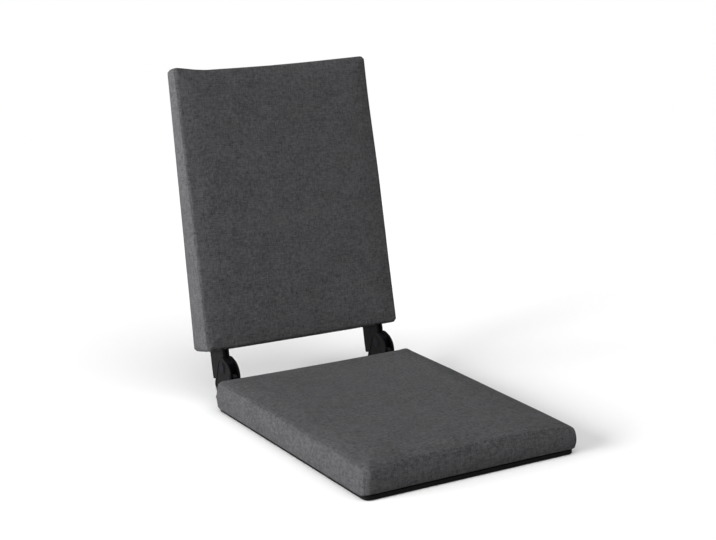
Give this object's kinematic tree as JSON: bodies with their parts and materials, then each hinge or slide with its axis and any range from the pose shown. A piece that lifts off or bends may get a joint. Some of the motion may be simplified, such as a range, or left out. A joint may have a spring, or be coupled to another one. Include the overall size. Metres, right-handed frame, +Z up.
{
  "type": "folding floor chair",
  "caption": "Legless floor chair: a boxy upholstered seat pad on a thin base, and a tapered back pad that reclines and folds flat on two ratchet hinges.",
  "frame": {"origin": "on the floor, at the centre of the seat's underside", "axes": "+Z up; +Y to the rear, from the seat's front edge towards the back; +X to the sitter's left"},
  "size_m": [0.3998, 0.688, 0.5887],
  "materials": {
    "upholstery": "fine flat woven polyester, charcoal grey",
    "foam": "open-cell cushion foam, off-white",
    "wadding": "polyester wadding, white",
    "plywood": "plain birch plywood, unfinished",
    "black_base": "matt black, slightly rounded lower edge",
    "grip_rubber": "matt black sheet with a fine texture",
    "black_metal": "satin black powder coat",
    "gear_steel": "blackened steel",
    "dark_pins": "blackened steel, low round heads",
    "washer_plastic": "matt black nylon",
    "spring_steel": "blue-black tempered strip",
    "plated_steel": "zinc plated"
  },
  "bodies": {
    "seat": {"base_board": "black_base", "base_screws": "plated_steel", "grip_sheet": "grip_rubber", "left_foot_plate": "black_metal", "left_inner_cheek": "black_metal", "left_outer_cheek": "black_metal", "left_pawl_pin": "dark_pins", "left_pawl_spring": "spring_steel", "left_pivot_pin": "dark_pins", "left_pivot_washers": "washer_plastic", "left_tie_rivet": "dark_pins", "left_tie_spacer": "dark_pins", "right_foot_plate": "black_metal", "right_inner_cheek": "black_metal", "right_outer_cheek": "black_metal", "right_pawl_pin": "dark_pins", "right_pawl_spring": "spring_steel", "right_pivot_pin": "dark_pins", "right_pivot_washers": "washer_plastic", "right_tie_rivet": "dark_pins", "right_tie_spacer": "dark_pins", "seat_bolts": "plated_steel", "seat_cover": "upholstery", "seat_foam": "foam", "seat_panel": "plywood", "seat_tee_nuts": "plated_steel"},
    "back": {"back_bolts": "plated_steel", "back_cover": "upholstery", "back_foam": "foam", "back_nuts": "plated_steel", "back_panel": "plywood", "back_wadding": "wadding", "left_arm": "black_metal", "left_gear": "gear_steel", "left_gear_rivets": "dark_pins", "right_arm": "black_metal", "right_gear": "gear_steel", "right_gear_rivets": "dark_pins"},
    "left_pawl": {"left_pawl": "gear_steel"},
    "right_pawl": {"right_pawl": "gear_steel"}
  },
  "joints": [
    {"name": "back_fold", "type": "hinge", "parent": "seat", "child": "back", "pos_m": [0, 0.286, 0.063], "axis": [1, 0, 0], "range_deg": [-75, 101]},
    {"name": "left_pawl_lift", "type": "hinge", "parent": "seat", "child": "left_pawl", "pos_m": [-0.162, 0.259, 0.052], "axis": [1, 0, 0], "range_deg": [-8, 0], "stiffness_Nm_per_rad": 0.05, "springref_deg": 17.19, "deforming": ["left_pawl_spring"]},
    {"name": "right_pawl_lift", "type": "hinge", "parent": "seat", "child": "right_pawl", "pos_m": [0.162, 0.259, 0.052], "axis": [1, 0, 0], "range_deg": [-8, 0], "stiffness_Nm_per_rad": 0.05, "springref_deg": 17.19, "deforming": ["right_pawl_spring"]}
  ]
}
